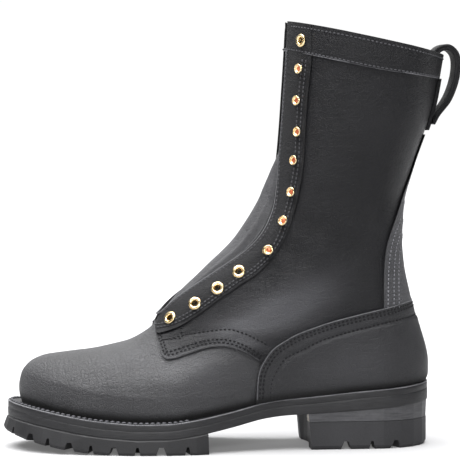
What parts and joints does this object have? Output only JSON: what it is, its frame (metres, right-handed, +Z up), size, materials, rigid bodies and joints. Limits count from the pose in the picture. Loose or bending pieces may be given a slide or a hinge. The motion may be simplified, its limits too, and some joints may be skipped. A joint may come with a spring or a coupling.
{
  "type": "lace-up boot",
  "caption": "Black leather lace-up work boot with a lugged sole, stacked heel, counter, pull loop, brass eyelets and hooks, without laces",
  "frame": {"origin": "on the floor under the middle of the bounding box", "axes": "+X toward the outer side of the foot, +Y from the toe to the heel, +Z up from the floor"},
  "size_m": [0.1194, 0.3428, 0.317],
  "materials": {
    "upper_leather": "oiled smooth black, satin",
    "facing_leather": "matt black",
    "edge_leather": "black edge dressing",
    "tread_rubber": "matt moulded",
    "brass": "polished"
  },
  "bodies": {
    "root": {"upper": "upper_leather", "counter": "upper_leather", "facing_lateral": "facing_leather", "facing_medial": "facing_leather", "collar_band": "upper_leather", "backstay": "upper_leather", "tongue": "upper_leather", "insole": "edge_leather", "welt": "edge_leather", "midsole": "edge_leather", "outsole": "tread_rubber", "heel_stack": "edge_leather", "heel_lift": "tread_rubber", "pull_loop": "facing_leather", "eyelet_lateral_01": "brass", "hook_lateral_02": "brass", "hook_lateral_03": "brass", "hook_lateral_04": "brass", "hook_lateral_05": "brass", "hook_lateral_06": "brass", "hook_lateral_07": "brass", "hook_lateral_08": "brass", "eyelet_lateral_09": "brass", "eyelet_lateral_10": "brass", "eyelet_lateral_11": "brass", "eyelet_lateral_12": "brass", "eyelet_medial_01": "brass", "hook_medial_02": "brass", "hook_medial_03": "brass", "hook_medial_04": "brass", "hook_medial_05": "brass", "hook_medial_06": "brass", "hook_medial_07": "brass", "hook_medial_08": "brass", "eyelet_medial_09": "brass", "eyelet_medial_10": "brass", "eyelet_medial_11": "brass", "eyelet_medial_12": "brass"}
  },
  "joints": []
}
